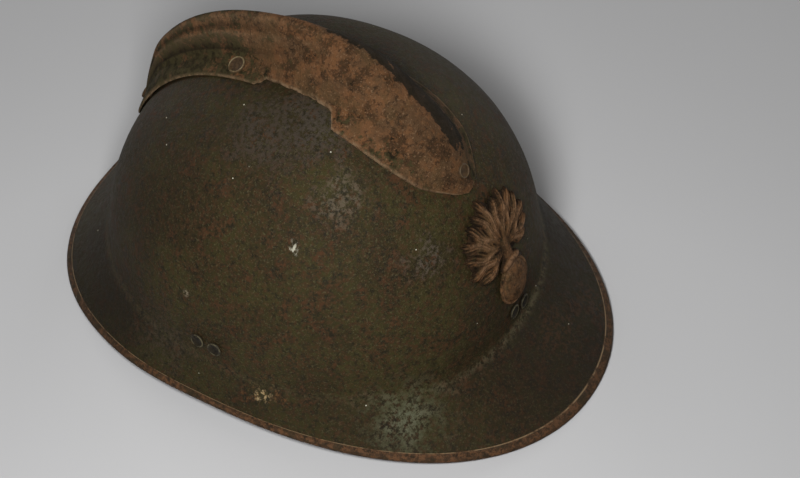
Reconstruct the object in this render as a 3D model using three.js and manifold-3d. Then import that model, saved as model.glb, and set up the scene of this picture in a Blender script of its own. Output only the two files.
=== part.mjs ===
// Steel helmet: a pressed shell with a brim, a hollow riveted crest, a grenade badge and its rivets.
// Millimetres. +Z is up, the front of the helmet is at -Y and the wearer's right is at -X.
// The origin is the middle of the rim's outline, at the height of its lowest points.

import * as THREE from 'three';
import { mergeVertices } from 'three/addons/utils/BufferGeometryUtils.js';
import Module from 'manifold-3d';

const wasm = await Module();
wasm.setup();

// Shell sizes
const sheet = 1.0;
const skullHalfWidth = 100.3;
const skullFrontLength = 107.7;
const skullRearLength = 113.6;
const skullBase = 21.2;
const crownHeight = 145.3;
const skullPlanPower = 2.16;
const skullRisePower = 2.14;

const brimFront = 44.3;
const brimRear = 25.5;
const brimSide = 7.0;
const rimWidestSetback = 3.2;
const rimFrontPower = 2.1;
const rimRearPower = 2.38;
const rimSideLift = 8.2;
const rimLiftPower = 2.6;
const rimFlatShare = 0.2;

const creaseFront = 28;
const creaseSide = 35;
const creaseRear = 34;
const creaseReach = 5.5;
const brimHollow = 1.5;
const beadRadius = 1.9;
const beadStep = 0.7;
const beadFootAngle = 58;

// Crest sizes
const crestSheet = 1.0;
const crestTipGap = 1.9;
const crestRearAngle = 157;
const crestHalfWidth = 25.6;
const crestHeight = 29.8;
const ribStartAngle = 82;
const ribFullAngle = 106;
const ribLevelShare = 0.9;
const ribLeastPower = 0.5;
const biteDepth = 4.8;
const biteFrontAngle = 81.2;
const biteRearAngle = 103;

// Badge sizes
const ballRadius = 12.2;
const ballHeight = 57.6;
const ballRelief = 4.6;
const ballRimWidth = 1.7;
const ballRimRelief = 1.7;
const flameRootHeight = 79;
const flameReach = 28.4;
const flameRelief = 3.2;
const flameLockWidth = 7;
const flamePlate = 0.9;
const collarHalfWidth = 8;
const collarWidth = 4.4;
const collarRelief = 3.6;
const neckWidth = 11;

// Rivet sizes
const crestEndRivetHead = 3.6;
const crestSideRivetHead = 4.6;
const crestRivetRim = 0.9;
const crestRivetDish = 0.4;
const crestRivetSink = 0.9;
const baseRivetHead = 3.9;
const baseRivetRim = 1;
const baseRivetDish = 0.4;
const shankRadius = 1.7;
const buckedHead = 3.2;
const buckedThickness = 0.9;
const baseRivetSpacing = 10;
const baseRivetRise = 4.1;
const sideRivetSetback = 4.85;
const frontRivetRise = 3;
const frontRivetShift = 1.9;
const frontRivetDrop = 1.3;
const frontCrestRivetSetback = 4.7;
const sideCrestRivetAngle = 109;
const sideCrestRivetShare = 0.64;
const rearCrestRivetSetback = 6.5;

// Clearances between touching pieces
const seatGap = 0.3;
const headGap = 0.35;
const buckedGap = 0.6;
const holeGap = 0.3;

// Mesh density
const columns = 52;
const crownRings = 10;
const creaseSteps = 4;
const brimSteps = 3;
const beadSteps = 3;
const rivetSides = 9;
const bossSides = 18;

const degrees = Math.PI / 180;
const skullWidestY = (skullFrontLength + brimFront - skullRearLength - brimRear) / 2;
const rimWidestY = skullWidestY + rimWidestSetback;
const rimHalfWidth = skullHalfWidth + brimSide;
const rimFrontLength = skullFrontLength + brimFront + rimWidestSetback;
const rimRearLength = skullRearLength + brimRear - rimWidestSetback;

const vector = (x, y, z) => new THREE.Vector3(x, y, z);
const mix = (a, b, share) => a + (b - a) * share;
const signedPower = (value, power) => Math.sign(value) * Math.abs(value) ** power;
const smooth = (from, to, value) => THREE.MathUtils.smoothstep(value, from, to);

// Value of a table of [share, value, ...] rows at a share between its first and last row
function fromTable(table, share, column) {
  const next = Math.max(1, table.findIndex((row) => row[0] >= share));
  const before = table[next - 1];
  const after = table[next];
  return mix(before[column], after[column], (share - before[0]) / (after[0] - before[0]));
}

// Distance along a ray at which an outline or solid is left; inside must hold at the start
function leavingDistance(inside, reach) {
  let near = 0;
  let far = reach;
  for (let step = 0; step < 50; step += 1) {
    const middle = (near + far) / 2;
    if (inside(middle)) near = middle;
    else far = middle;
  }
  return near;
}

// Negative inside the skull's outer surface, which ends in an upright wall at its base
function skullLevel(point) {
  const length = point.y < skullWidestY ? skullFrontLength : skullRearLength;
  const plan = (Math.abs(point.x) / skullHalfWidth) ** skullPlanPower
    + (Math.abs(point.y - skullWidestY) / length) ** skullPlanPower;
  const rise = Math.max(0, (point.z - skullBase) / (crownHeight - skullBase));
  return plan ** (skullRisePower / skullPlanPower) + rise ** skullRisePower - 1;
}

function skullNormal(point) {
  const step = 0.05;
  const slope = (axis) => {
    const ahead = point.clone().addScaledVector(axis, step);
    const behind = point.clone().addScaledVector(axis, -step);
    return skullLevel(ahead) - skullLevel(behind);
  };
  return vector(slope(vector(1, 0, 0)), slope(vector(0, 1, 0)), slope(vector(0, 0, 1))).normalize();
}

// Point of the skull's outer surface met by a ray that starts inside it
function onSkull(origin, direction) {
  const reach = skullFrontLength + skullRearLength + crownHeight;
  const along = (distance) => origin.clone().addScaledVector(direction, distance);
  return along(leavingDistance((distance) => skullLevel(along(distance)) < 0, reach));
}

// Point of the skull at a plan angle and a height; angle 0 is +X and -90 degrees is the front
function skullPoint(angle, height) {
  const rise = Math.max(0, (height - skullBase) / (crownHeight - skullBase));
  const share = Math.max(0, 1 - rise ** skullRisePower) ** (1 / skullRisePower);
  const length = Math.sin(angle) < 0 ? skullFrontLength : skullRearLength;
  return vector(
    skullHalfWidth * share * signedPower(Math.cos(angle), 2 / skullPlanPower),
    skullWidestY + length * share * signedPower(Math.sin(angle), 2 / skullPlanPower),
    height,
  );
}

function insideRim(x, y) {
  const front = y < rimWidestY;
  const power = front ? rimFrontPower : rimRearPower;
  const length = front ? rimFrontLength : rimRearLength;
  return (Math.abs(x) / rimHalfWidth) ** power + (Math.abs(y - rimWidestY) / length) ** power < 1;
}

// Height of the rim's underside, level in front and behind and lifted at the sides
function rimLift(x, y) {
  const power = y < rimWidestY ? rimFrontPower : rimRearPower;
  const sideways = Math.min(1, (Math.abs(x) / rimHalfWidth) ** (power / 2));
  const share = Math.max(0, (sideways - rimFlatShare) / (1 - rimFlatShare));
  return rimSideLift * share ** rimLiftPower;
}

function creaseHeight(angle) {
  const middle = Math.sin(angle) < 0 ? creaseFront : creaseRear;
  return mix(middle, creaseSide, Math.cos(angle) ** 2);
}

// One column of the shell: crown, crease and brim points outside, then the rim's bead
function shellColumn(angle) {
  const crease = creaseHeight(angle);
  const top = crease + creaseReach;
  const topRise = (top - skullBase) / (crownHeight - skullBase);
  const lastTilt = Math.acos(topRise ** (skullRisePower / 2));
  const points = [];
  for (let ring = 1; ring <= crownRings; ring += 1) {
    const rise = Math.cos(lastTilt * ring / crownRings) ** (2 / skullRisePower);
    points.push(skullPoint(angle, mix(skullBase, crownHeight, rise)));
  }

  const corner = skullPoint(angle, crease);
  const wallTop = skullPoint(angle, top);
  const outward = skullNormal(skullPoint(angle, skullBase)).setZ(0).normalize();
  const brimWidth = leavingDistance(
    (distance) => insideRim(corner.x + outward.x * distance, corner.y + outward.y * distance),
    rimFrontLength,
  );
  const rimX = corner.x + outward.x * brimWidth;
  const rimY = corner.y + outward.y * brimWidth;
  const footAngle = beadFootAngle * degrees;
  const lift = rimLift(rimX, rimY) + beadRadius * Math.sin(footAngle);
  const beadCentre = vector(rimX, rimY, lift).addScaledVector(outward, -beadRadius);
  const run = brimWidth - beadRadius;
  const slope = Math.atan2(crease - lift, run);
  const beadPoint = (turn) => beadCentre.clone()
    .addScaledVector(outward, beadRadius * Math.cos(turn))
    .add(vector(0, 0, beadRadius * Math.sin(turn)));
  const back = Math.PI - slope;
  const outerJoint = back - Math.asin(1 - beadStep / beadRadius);
  const innerJoint = back - Math.asin(1 - (beadStep + sheet) / beadRadius);

  const brimEnd = beadPoint(outerJoint);
  const down = brimEnd.clone().sub(corner);
  const creaseEnd = corner.clone().addScaledVector(down.clone().normalize(), creaseReach);
  for (let step = 1; step <= creaseSteps; step += 1) {
    const share = step / creaseSteps;
    const upper = wallTop.clone().lerp(corner, share);
    const lower = corner.clone().lerp(creaseEnd, share);
    points.push(upper.lerp(lower, share));
  }
  for (let step = 1; step < brimSteps; step += 1) {
    const share = step / brimSteps;
    const hollow = brimHollow * 4 * share * (1 - share) * Math.cos(slope);
    points.push(creaseEnd.clone().lerp(brimEnd, share).add(vector(0, 0, -hollow)));
  }

  const bead = [];
  const innerFoot = Math.PI + footAngle;
  for (let step = 0; step <= beadSteps; step += 1) {
    bead.push(beadPoint(mix(outerJoint, -footAngle, step / beadSteps)));
  }
  for (let step = 0; step <= beadSteps; step += 1) {
    bead.push(beadPoint(mix(innerFoot, innerJoint, step / beadSteps)));
  }
  return { points, bead };
}

// Closed body through rings of points, each ring closed on itself, with a point at either end
function loftBetweenPoles(first, rings, last) {
  const count = rings[0].length;
  const vertices = [first, ...rings.flat(), last];
  const at = (ring, column) => 1 + ring * count + (column % count);
  const faces = [];
  for (let column = 0; column < count; column += 1) {
    faces.push(0, at(0, column), at(0, column + 1));
    for (let ring = 0; ring + 1 < rings.length; ring += 1) {
      faces.push(at(ring, column), at(ring + 1, column), at(ring + 1, column + 1));
      faces.push(at(ring, column), at(ring + 1, column + 1), at(ring, column + 1));
    }
    const end = rings.length - 1;
    faces.push(at(end, column), vertices.length - 1, at(end, column + 1));
  }
  return bodyFrom(vertices, faces);
}

// Closed body through loops of points; each end is a strip or fan between the loop's two sides
function loftLoops(loops) {
  const count = loops[0].length;
  const at = (loop, index) => loop * count + (index % count);
  const faces = [];
  for (let loop = 0; loop + 1 < loops.length; loop += 1) {
    for (let index = 0; index < count; index += 1) {
      faces.push(at(loop, index), at(loop, index + 1), at(loop + 1, index + 1));
      faces.push(at(loop, index), at(loop + 1, index + 1), at(loop + 1, index));
    }
  }
  const end = loops.length - 1;
  const pairs = Math.floor(count / 2);
  for (let index = 0; index < pairs; index += 1) {
    const mirror = count - 1 - index;
    if (mirror - index < 2) continue;
    faces.push(at(0, index), at(0, mirror), at(0, index + 1));
    faces.push(at(end, index), at(end, index + 1), at(end, mirror));
    if (mirror - index < 3) continue;
    faces.push(at(0, index + 1), at(0, mirror), at(0, mirror - 1));
    faces.push(at(end, index + 1), at(end, mirror - 1), at(end, mirror));
  }
  return bodyFrom(loops.flat(), faces);
}

function solidFromGeometry(source) {
  source.deleteAttribute('normal');
  source.deleteAttribute('uv');
  const merged = mergeVertices(source, 1e-4);
  const triangles = [];
  for (let face = 0; face < merged.index.count; face += 3) {
    const corners = [0, 1, 2].map((corner) => merged.index.getX(face + corner));
    if (new Set(corners).size === 3) triangles.push(...corners);
  }
  return new wasm.Manifold(new wasm.Mesh({
    numProp: 3,
    vertProperties: new Float32Array(merged.attributes.position.array),
    triVerts: new Uint32Array(triangles),
  }));
}

function bodyFrom(vertices, faces) {
  const shape = new THREE.BufferGeometry();
  const positions = vertices.flatMap((point) => point.toArray());
  shape.setAttribute('position', new THREE.Float32BufferAttribute(positions, 3));
  shape.setIndex(faces);
  return solidFromGeometry(shape);
}

function meshFromSolid(solid, name, material) {
  const result = solid.getMesh();
  const geometry = new THREE.BufferGeometry();
  geometry.setAttribute('position', new THREE.BufferAttribute(result.vertProperties, 3));
  geometry.setIndex(new THREE.BufferAttribute(result.triVerts, 1));
  geometry.computeVertexNormals();
  const mesh = new THREE.Mesh(geometry, material);
  mesh.name = name;
  return mesh;
}

// Body of revolution with its axis along a direction and its profile's zero height at a point
function turnedSolid(profile, point, direction) {
  const upward = profile.map(([radius, height]) => new THREE.Vector2(radius, height)).reverse();
  const shape = new THREE.LatheGeometry(upward, rivetSides);
  shape.applyQuaternion(new THREE.Quaternion().setFromUnitVectors(vector(0, 1, 0), direction));
  shape.translate(point.x, point.y, point.z);
  return solidFromGeometry(shape);
}

function shellSolid() {
  const turns = Array.from({ length: columns }, (_, column) => column / columns * 2 * Math.PI);
  const grid = turns.map(shellColumn);
  const ringCount = grid[0].points.length;
  const wrap = (column) => grid[(column + columns) % columns];
  const crown = vector(0, skullWidestY, crownHeight);

  const outerRing = (ring) => grid.map((column) => column.points[ring]);
  const innerRing = (ring) => grid.map((column, index) => {
    const above = ring > 0 ? column.points[ring - 1] : crown;
    const below = ring + 1 < ringCount ? column.points[ring + 1] : column.bead[0];
    const along = below.clone().sub(above);
    const around = wrap(index + 1).points[ring].clone().sub(wrap(index - 1).points[ring]);
    const normal = along.cross(around).normalize();
    return column.points[ring].clone().addScaledVector(normal, -sheet);
  });

  const rings = [];
  for (let ring = 0; ring < ringCount; ring += 1) rings.push(outerRing(ring));
  grid[0].bead.forEach((_, step) => rings.push(grid.map((column) => column.bead[step])));
  for (let ring = ringCount - 1; ring >= 0; ring -= 1) rings.push(innerRing(ring));
  return loftBetweenPoles(crown, rings, crown.clone().add(vector(0, 0, -sheet)));
}

// Crest stations: share of the way from its front tip to its rear tip, half-width share, height share
const crestStations = [
  [0, 0.104, 0],
  [0.015, 0.31, 0.041],
  [0.035, 0.476, 0.103],
  [0.06, 0.662, 0.165],
  [0.092, 0.844, 0.28],
  [0.133, 0.932, 0.4],
  [0.174, 0.988, 0.505],
  [0.216, 1, 0.63],
  [0.252, 0.988, 0.775],
  [0.294, 0.963, 0.895],
  [0.335, 0.9, 0.96],
  [0.381, 0.828, 0.992],
  [0.427, 0.766, 1],
  [0.468, 0.704, 0.966],
  [0.509, 0.67, 0.93],
  [0.555, 0.637, 0.884],
  [0.6, 0.607, 0.827],
  [0.647, 0.573, 0.76],
  [0.693, 0.545, 0.684],
  [0.739, 0.526, 0.6],
  [0.784, 0.521, 0.506],
  [0.835, 0.523, 0.341],
  [0.885, 0.518, 0.2],
  [0.931, 0.461, 0.093],
  [0.968, 0.342, 0.046],
  [1, 0.12, 0],
];

// Crest section from its middle to its edge: half-width share, then the height share of the form
// with moulded ribs behind and that of the smooth form in front
const crestSection = [
  [0, 1, 1],
  [0.1, 0.97, 0.99],
  [0.17, 0.85, 0.967],
  [0.24, 0.63, 0.935],
  [0.3, 0.33, 0.895],
  [0.36, 0.23, 0.84],
  [0.43, 0.12, 0.765],
  [0.62, 0.085, 0.44],
  [0.82, 0.05, 0.13],
  [1, 0, 0],
];

// Missing stretch of the right flange: share along it and depth share
const biteOutline = [
  [0, 0],
  [0.045, 0.6],
  [0.085, 0.98],
  [0.31, 0.92],
  [0.68, 0.79],
  [0.86, 0.75],
  [0.93, 0.4],
  [1, 0],
];

// The crest's tip sits a gap above the flames, seen from the middle of the skull
const crestTip = skullPoint(-90 * degrees, flameRootHeight + flameReach + crestTipGap);
const crestFrontAngle = Math.atan2(crestTip.z - skullBase, skullWidestY - crestTip.y) / degrees;
const crestShare = (angle) => (angle - crestFrontAngle) / (crestRearAngle - crestFrontAngle);
const crestAngle = (share) => mix(crestFrontAngle, crestRearAngle, share);

// Point above the skull on the crest's fan of rays; the angle opens from the front over the crown
function overSkull(angle, across, lift) {
  const ray = vector(0, -Math.cos(angle * degrees), Math.sin(angle * degrees));
  return onSkull(vector(across, skullWidestY, skullBase), ray).addScaledVector(ray, lift);
}

// Height share of the crest's section at a half-width share; the ribs behind keep about level
// while the crest above them gets lower
function sectionHeight(angle, outShare, height) {
  const power = Math.max(ribLeastPower, height / (ribLevelShare * crestHeight));
  const ribbed = fromTable(crestSection, outShare, 1) ** power;
  const plain = fromTable(crestSection, outShare, 2);
  return mix(plain, ribbed, smooth(ribStartAngle, ribFullAngle, angle));
}

// Across and lift of the crest's outer surface at one angle and signed half-width share
function crestOutside(angle, outShare) {
  const share = crestShare(angle);
  const halfWidth = crestHalfWidth * fromTable(crestStations, share, 1);
  const height = crestHeight * fromTable(crestStations, share, 2);
  return new THREE.Vector2(
    halfWidth * outShare,
    seatGap + crestSheet + height * sectionHeight(angle, Math.abs(outShare), height),
  );
}

function crestLoop(angle) {
  const shares = crestSection.map((row) => row[0]);
  const signed = [...shares.slice(1).reverse().map((share) => -share), ...shares];
  const outside = signed.map((share) => crestOutside(angle, share));
  const inside = outside.map((point, index) => {
    const before = outside[Math.max(0, index - 1)];
    const after = outside[Math.min(outside.length - 1, index + 1)];
    const edge = index === 0 || index === outside.length - 1;
    const along = after.clone().sub(before).normalize();
    const across = edge ? point.x : point.x + along.y * crestSheet;
    return new THREE.Vector2(across, Math.max(seatGap, point.y - along.x * crestSheet));
  });
  return [...outside, ...inside.reverse()].map((point) => overSkull(angle, point.x, point.y));
}

function biteSolid() {
  const clear = 2 * biteDepth;
  const loops = biteOutline.map(([share, depth]) => {
    const angle = mix(biteFrontAngle, biteRearAngle, share);
    const edge = crestHalfWidth * fromTable(crestStations, crestShare(angle), 1);
    const inner = -edge + biteDepth * depth - (depth ? 0 : biteDepth);
    return [[inner, -biteDepth], [-edge - clear, -biteDepth], [-edge - clear, clear], [inner, clear]]
      .map(([across, lift]) => overSkull(angle, across, lift));
  });
  return loftLoops(loops);
}

function crestSolid() {
  return loftLoops(crestStations.map(([share]) => crestLoop(crestAngle(share)))).subtract(biteSolid());
}

// Point of the badge, laid on the front of the skull at a height and a distance across
function onFront(across, height, relief) {
  const foot = onSkull(vector(across, skullWidestY, height), vector(0, -1, 0));
  return foot.addScaledVector(skullNormal(foot), seatGap + relief);
}

// Flame locks: turn from upright in degrees, length share and sideways sway share
const flameLocks = [
  [-106, 0.82, -0.5],
  [-89, 0.93, 0.5],
  [-72, 0.96, -0.4],
  [-55, 1, 0.5],
  [-39, 0.93, -0.5],
  [-23, 0.9, 0.4],
  [-7, 0.955, 0.6],
  [14, 0.83, -0.4],
  [30, 0.9, 0.4],
  [46, 0.92, -0.5],
  [62, 0.91, 0.5],
  [78, 0.92, -0.5],
  [93, 0.84, 0.5],
  [106, 0.68, 0.4],
];

// Lock form from root to tip: share of its length, width share and relief share
const lockForm = [
  [0.06, 0.42, 0.55],
  [0.45, 0.85, 1],
  [0.8, 1.02, 0.9],
  [0.93, 0.8, 0.6],
  [1, 0.3, 0.25],
];

// A low ridge on the front of the skull, through points of [across, height, width, relief]
function ridgeSolid(stations, turn) {
  const side = [Math.cos(turn), -Math.sin(turn)];
  const arch = [[-0.5, 0], [-0.32, 0.75], [0, 1], [0.32, 0.75], [0.5, 0]];
  return loftLoops(stations.map(([across, height, width, relief]) => arch.map(([out, up]) => (
    onFront(across + side[0] * out * width, height + side[1] * out * width, relief * up)
  ))));
}

function lockSolid([turnDegrees, lengthShare, sway]) {
  const turn = turnDegrees * degrees;
  const stations = lockForm.map(([share, width, relief]) => {
    const away = flameReach * lengthShare * share;
    const aside = sway * flameLockWidth / 2 * Math.sin(share * 2 * Math.PI) * share;
    return [
      Math.sin(turn) * away + Math.cos(turn) * aside,
      flameRootHeight + Math.cos(turn) * away - Math.sin(turn) * aside,
      flameLockWidth * width * lengthShare,
      flameRelief * relief,
    ];
  });
  return ridgeSolid(stations, turn);
}

// Round boss on the front of the skull from a profile of [radius, relief]
function bossSolid(centreHeight, profile) {
  const rings = profile.map(([radius, relief]) => Array.from({ length: bossSides }, (_, side) => {
    const turn = side / bossSides * 2 * Math.PI;
    return onFront(radius * Math.cos(turn), centreHeight + radius * Math.sin(turn), relief);
  }));
  const reliefs = profile.map((row) => row[1]);
  const first = onFront(0, centreHeight, Math.max(...reliefs));
  return loftBetweenPoles(first, rings, onFront(0, centreHeight, 0));
}

function ballSolid() {
  const field = ballRadius - ballRimWidth;
  return bossSolid(ballHeight, [
    [field * 0.3, ballRelief * 0.97],
    [field * 0.65, ballRelief * 0.8],
    [field * 0.92, ballRimRelief * 0.9],
    [field, ballRimRelief * 0.55],
    [ballRadius - ballRimWidth * 0.75, ballRimRelief],
    [ballRadius - ballRimWidth * 0.25, ballRimRelief],
    [ballRadius, ballRimRelief * 0.5],
    [ballRadius, 0],
    [ballRadius * 0.5, 0],
  ]);
}

function plateSolid() {
  const radius = flameReach * 0.7;
  return bossSolid(flameRootHeight, [
    [radius * 0.5, flamePlate],
    [radius, flamePlate],
    [radius, 0],
    [radius * 0.5, 0],
  ]).subtract(belowFlames());
}

// Block that trims the flame plate to a fan above the collar
function belowFlames() {
  const depth = 3 * flameReach;
  const block = new THREE.BoxGeometry(depth, depth, depth);
  const top = flameRootHeight - collarWidth;
  block.translate(0, skullWidestY - skullFrontLength, top - depth / 2);
  return solidFromGeometry(block);
}

function badgeSolid() {
  const collarHeight = ballHeight + ballRadius + collarWidth / 4;
  const collar = [-1, -0.6, 0, 0.6, 1].map((share) => [
    collarHalfWidth * share,
    collarHeight - collarWidth * 0.3 * share * share,
    collarWidth * (1 - 0.45 * share ** 4),
    collarRelief * (1 - 0.5 * share ** 4),
  ]);
  const neck = [0, 0.5, 1].map((share) => [
    0,
    mix(ballHeight + ballRadius * 0.7, flameRootHeight + collarWidth, share),
    neckWidth * (1 - 0.3 * share),
    collarRelief * 0.72,
  ]);
  const middle = [plateSolid(), ridgeSolid(collar, Math.PI / 2), ridgeSolid(neck, 0)];
  return [...middle, ...flameLocks.map(lockSolid)].reduce((whole, piece) => whole.add(piece), ballSolid());
}

// Rivet profiles, from the top of the outer head to the end of the bucked one
function shankProfile(grip) {
  return [
    [shankRadius, -grip],
    [buckedHead, -grip],
    [buckedHead, -grip - buckedThickness * 0.6],
    [buckedHead * 0.7, -grip - buckedThickness],
    [0, -grip - buckedThickness],
  ];
}

function baseRivetSolid(seat) {
  const profile = [
    [0, baseRivetDish],
    [baseRivetHead * 0.6, baseRivetDish],
    [baseRivetHead * 0.76, baseRivetRim],
    [baseRivetHead * 0.92, baseRivetRim],
    [baseRivetHead, baseRivetDish],
    [baseRivetHead, 0],
    [shankRadius, 0],
    ...shankProfile(headGap + sheet + buckedGap),
  ];
  return turnedSolid(profile, seat.point.clone().addScaledVector(seat.normal, headGap), seat.normal);
}

function crestRivetSolid(seat, spare) {
  const head = [
    [0, crestRivetDish + spare],
    [seat.head * 0.72, crestRivetDish + spare],
    [seat.head * 0.84, crestRivetRim + spare],
    [seat.head * 0.95, crestRivetRim * 0.9 + spare],
    [seat.head + spare, crestRivetDish * 0.5 + spare],
    [seat.head + spare, -crestRivetSink - spare],
    [0, -crestRivetSink - spare],
  ];
  const depth = seat.top.distanceTo(seat.foot);
  const shank = [
    [0, depth - crestRivetSink / 2],
    [shankRadius + spare, depth - crestRivetSink / 2],
    [shankRadius + spare, -sheet - buckedGap],
    ...shankProfile(sheet + buckedGap).slice(1),
  ];
  return turnedSolid(head, seat.top, seat.tilt).add(turnedSolid(shank, seat.foot, seat.normal));
}

// Where a crest rivet sits: its place on the crest, the skull below it and both directions
function crestSeat(angle, outShare, head) {
  const place = (nearAngle, nearShare) => {
    const spot = crestOutside(nearAngle, nearShare);
    return overSkull(nearAngle, spot.x, spot.y);
  };
  const top = place(angle, outShare);
  const across = place(angle, outShare + 0.12).sub(place(angle, outShare - 0.12));
  const along = place(angle + 2, outShare).sub(place(angle - 2, outShare));
  const tilt = across.cross(along).normalize();
  const inward = skullNormal(top).negate();
  const foot = onSkull(top.clone().addScaledVector(inward, crestHeight * 2), inward.clone().negate());
  return { top, foot, tilt, head, normal: skullNormal(foot) };
}

const frontCrestRivetAngle = crestFrontAngle + frontCrestRivetSetback;
const rearCrestRivetAngle = crestRearAngle - rearCrestRivetSetback;
const crestSeats = {
  crest_rivet_front: crestSeat(frontCrestRivetAngle, 0, crestEndRivetHead),
  crest_rivet_rear: crestSeat(rearCrestRivetAngle, 0, crestEndRivetHead),
  crest_rivet_right: crestSeat(sideCrestRivetAngle, -sideCrestRivetShare, crestSideRivetHead),
  crest_rivet_left: crestSeat(sideCrestRivetAngle, sideCrestRivetShare, crestSideRivetHead),
};

// Where a base rivet sits: a ray from the skull's middle line outwards at a height
function baseSeat(x, y, height, direction) {
  const point = onSkull(vector(x, y, height), direction);
  return { point, normal: skullNormal(point) };
}

const halfPair = baseRivetSpacing / 2;
const aboveCrease = (crease, rise) => crease + creaseReach + rise;
const frontPairHeight = aboveCrease(creaseFront, frontRivetRise);
const frontPairSeat = (side) => {
  const across = frontRivetShift + side * halfPair;
  return baseSeat(across, skullWidestY, frontPairHeight - side * frontRivetDrop, frontward);
};
const frontward = vector(0, -1, 0);
const rearward = vector(0, 1, 0);
const rightward = vector(-1, 0, 0);
const leftward = vector(1, 0, 0);
const sidePairY = skullWidestY + sideRivetSetback + halfPair;
const sidePairHeight = aboveCrease(creaseSide, baseRivetRise);
const rearPairHeight = aboveCrease(creaseRear, baseRivetRise);
const baseSeats = {
  base_rivet_front_right: frontPairSeat(-1),
  base_rivet_front_left: frontPairSeat(1),
  base_rivet_rear_right: baseSeat(-halfPair, skullWidestY, rearPairHeight, rearward),
  base_rivet_rear_left: baseSeat(halfPair, skullWidestY, rearPairHeight, rearward),
  base_rivet_right_front: baseSeat(0, sidePairY - halfPair, sidePairHeight, rightward),
  base_rivet_right_rear: baseSeat(0, sidePairY + halfPair, sidePairHeight, rightward),
  base_rivet_left_front: baseSeat(0, sidePairY - halfPair, sidePairHeight, leftward),
  base_rivet_left_rear: baseSeat(0, sidePairY + halfPair, sidePairHeight, leftward),
};

// Hole through the shell for a rivet's shank
function shankHole(point, normal) {
  const depth = 4 * sheet;
  const radius = shankRadius + holeGap;
  return turnedSolid([[0, depth], [radius, depth], [radius, -depth], [0, -depth]], point, normal);
}

const steel = (colour, roughness, metalness) => () => new THREE.MeshStandardMaterial({
  color: colour,
  roughness,
  metalness,
});
const paintedSteel = steel(0x3a3526, 0.62, 0.35);
const rustyPaint = steel(0x5a3a26, 0.85, 0.25);
const rustySteel = steel(0x6b4630, 0.8, 0.3);
const darkSteel = steel(0x2b2620, 0.55, 0.5);

function drilledShell() {
  const holes = [
    ...Object.values(crestSeats).map((seat) => shankHole(seat.foot, seat.normal)),
    ...Object.values(baseSeats).map((seat) => shankHole(seat.point, seat.normal)),
  ];
  return holes.reduce((whole, hole) => whole.subtract(hole), shellSolid());
}

function drilledCrest() {
  const cuts = Object.values(crestSeats).map((seat) => crestRivetSolid(seat, holeGap));
  return cuts.reduce((whole, cut) => whole.subtract(cut), crestSolid());
}

const helmet = new THREE.Group();
helmet.name = 'helmet';
helmet.add(meshFromSolid(drilledShell(), 'shell', paintedSteel()));
helmet.add(meshFromSolid(drilledCrest(), 'crest', rustyPaint()));
helmet.add(meshFromSolid(badgeSolid(), 'grenade_badge', rustySteel()));
for (const [name, seat] of Object.entries(crestSeats)) {
  helmet.add(meshFromSolid(crestRivetSolid(seat, 0), name, rustySteel()));
}
for (const [name, seat] of Object.entries(baseSeats)) {
  helmet.add(meshFromSolid(baseRivetSolid(seat), name, darkSteel()));
}

export default helmet;
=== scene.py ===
"""Rusty steel helmet with a riveted crest and a grenade badge, standing on pale paper.

Metres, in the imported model's frame: +Z up, front of the helmet at -Y, wearer's right at -X.
"""

import math

import bmesh
import bpy
from mathutils import Matrix, Vector, noise


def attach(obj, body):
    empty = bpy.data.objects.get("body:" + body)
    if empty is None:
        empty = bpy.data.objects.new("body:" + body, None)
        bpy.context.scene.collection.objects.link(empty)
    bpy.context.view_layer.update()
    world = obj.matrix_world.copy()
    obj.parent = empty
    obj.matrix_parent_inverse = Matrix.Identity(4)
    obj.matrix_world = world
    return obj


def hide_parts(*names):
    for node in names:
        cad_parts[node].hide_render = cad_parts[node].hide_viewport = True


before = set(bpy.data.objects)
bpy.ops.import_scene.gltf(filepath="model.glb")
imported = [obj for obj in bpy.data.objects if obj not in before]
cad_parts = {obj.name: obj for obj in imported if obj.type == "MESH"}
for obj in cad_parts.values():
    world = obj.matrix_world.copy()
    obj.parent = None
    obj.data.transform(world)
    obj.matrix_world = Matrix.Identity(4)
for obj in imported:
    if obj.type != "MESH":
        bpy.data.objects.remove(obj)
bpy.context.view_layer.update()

MM = 0.001

# Shell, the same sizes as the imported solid
SHEET = 1.0 * MM
SKULL_HALF_WIDTH = 100.3 * MM
SKULL_FRONT = 107.7 * MM
SKULL_REAR = 113.6 * MM
SKULL_BASE = 21.2 * MM
CROWN_HEIGHT = 145.3 * MM
SKULL_PLAN_POWER = 2.16
SKULL_RISE_POWER = 2.14
BRIM_FRONT = 44.3 * MM
BRIM_REAR = 25.5 * MM
BRIM_SIDE = 7.0 * MM
RIM_SETBACK = 3.2 * MM
RIM_FRONT_POWER = 2.1
RIM_REAR_POWER = 2.38
RIM_SIDE_LIFT = 8.2 * MM
RIM_LIFT_POWER = 2.6
RIM_FLAT_SHARE = 0.2
CREASE_FRONT = 28 * MM
CREASE_SIDE = 35 * MM
CREASE_REAR = 34 * MM
CREASE_REACH = 5.5 * MM
BRIM_HOLLOW = 1.5 * MM
BEAD_RADIUS = 1.9 * MM
BEAD_STEP = 0.7 * MM
BEAD_FOOT = math.radians(58)
HEM_REACH = 1.7 * MM
HEM_LINE_SHARE = 0.4

SKULL_Y = (SKULL_FRONT + BRIM_FRONT - SKULL_REAR - BRIM_REAR) / 2
RIM_Y = SKULL_Y + RIM_SETBACK
RIM_HALF_WIDTH = SKULL_HALF_WIDTH + BRIM_SIDE
RIM_FRONT = SKULL_FRONT + BRIM_FRONT + RIM_SETBACK
RIM_REAR = SKULL_REAR + BRIM_REAR - RIM_SETBACK

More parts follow.
